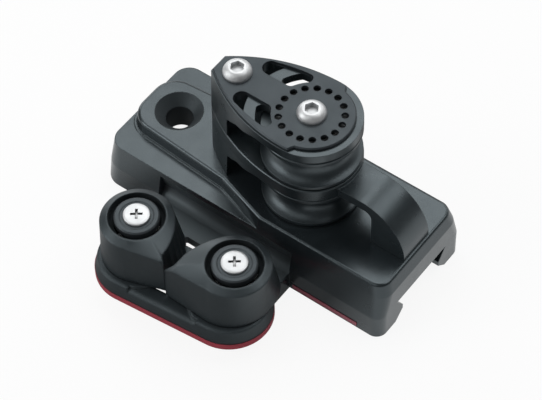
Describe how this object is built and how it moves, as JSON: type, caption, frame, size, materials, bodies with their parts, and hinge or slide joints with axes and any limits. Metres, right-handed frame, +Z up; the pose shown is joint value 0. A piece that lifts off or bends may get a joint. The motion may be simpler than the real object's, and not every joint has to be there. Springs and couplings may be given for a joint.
{
  "type": "sailing traveller track end control with cam cleat",
  "caption": "End control for a sailing traveller track: a casting that caps the track, stacked sheaves on an upright bolt, a guide arch and a cam cleat on a side arm.",
  "frame": {"origin": "on the axis of the track bolt's hole, at the level of the casting's feet", "axes": "+X along the track towards the casting's open end, +Z up along the bolts, cleat arm towards -Y"},
  "size_m": [0.1188, 0.0903, 0.066],
  "materials": {
    "casting": "hard anodised, satin black",
    "stripe": "satin red",
    "block_frame": "moulded, satin black",
    "side_plate": "anodised, dark grey",
    "acetal": "white acetal",
    "sheave": "moulded, satin black",
    "bearing_metal": "machined",
    "stainless": "polished stainless",
    "cleat_body": "moulded, satin black",
    "cam": "moulded, satin charcoal",
    "cap": "moulded, dark grey"
  },
  "bodies": {
    "base": {"track_base": "casting", "stripe_label": "stripe", "lower_frame": "block_frame", "upper_frame": "block_frame", "side_plate": "side_plate", "thrust_ring": "acetal", "lower_race": "bearing_metal", "upper_race": "bearing_metal", "lower_rollers": "acetal", "upper_rollers": "acetal", "lower_thrust_washers": "acetal", "upper_thrust_washers": "acetal", "centre_bolt": "stainless", "tail_bolt": "stainless", "cleat_sole": "stripe", "cleat_base": "cleat_body", "left_cap": "cap", "right_cap": "cap", "left_cam_screw": "stainless", "right_cam_screw": "stainless", "left_cam_balls": "acetal", "right_cam_balls": "acetal", "left_cam_spring": "stainless", "right_cam_spring": "stainless", "cleat_nuts": "stainless"},
    "upper_sheave": {"upper_sheave": "sheave"},
    "lower_sheave": {"lower_sheave": "sheave"},
    "left_cam": {"left_cam": "cam"},
    "right_cam": {"right_cam": "cam"}
  },
  "joints": [
    {"name": "upper_sheave_spin", "type": "hinge", "parent": "base", "child": "upper_sheave", "pos_m": [0.0568, 0, 0.05125], "axis": [0, 0, 1], "continuous": true},
    {"name": "lower_sheave_spin", "type": "hinge", "parent": "base", "child": "lower_sheave", "pos_m": [0.0568, 0, 0.03155], "axis": [0, 0, 1], "continuous": true},
    {"name": "left_cam_swing", "type": "hinge", "parent": "base", "child": "left_cam", "pos_m": [0.02079, -0.04869, 0.0157], "axis": [0, 0, 1], "range_deg": [-50, 0], "stiffness_Nm_per_rad": 0.05, "springref_deg": 34.38},
    {"name": "right_cam_swing", "type": "hinge", "parent": "base", "child": "right_cam", "pos_m": [0.05862, -0.04511, 0.0157], "axis": [0, 0, 1], "range_deg": [0, 50], "stiffness_Nm_per_rad": 0.05, "springref_deg": -34.38}
  ]
}
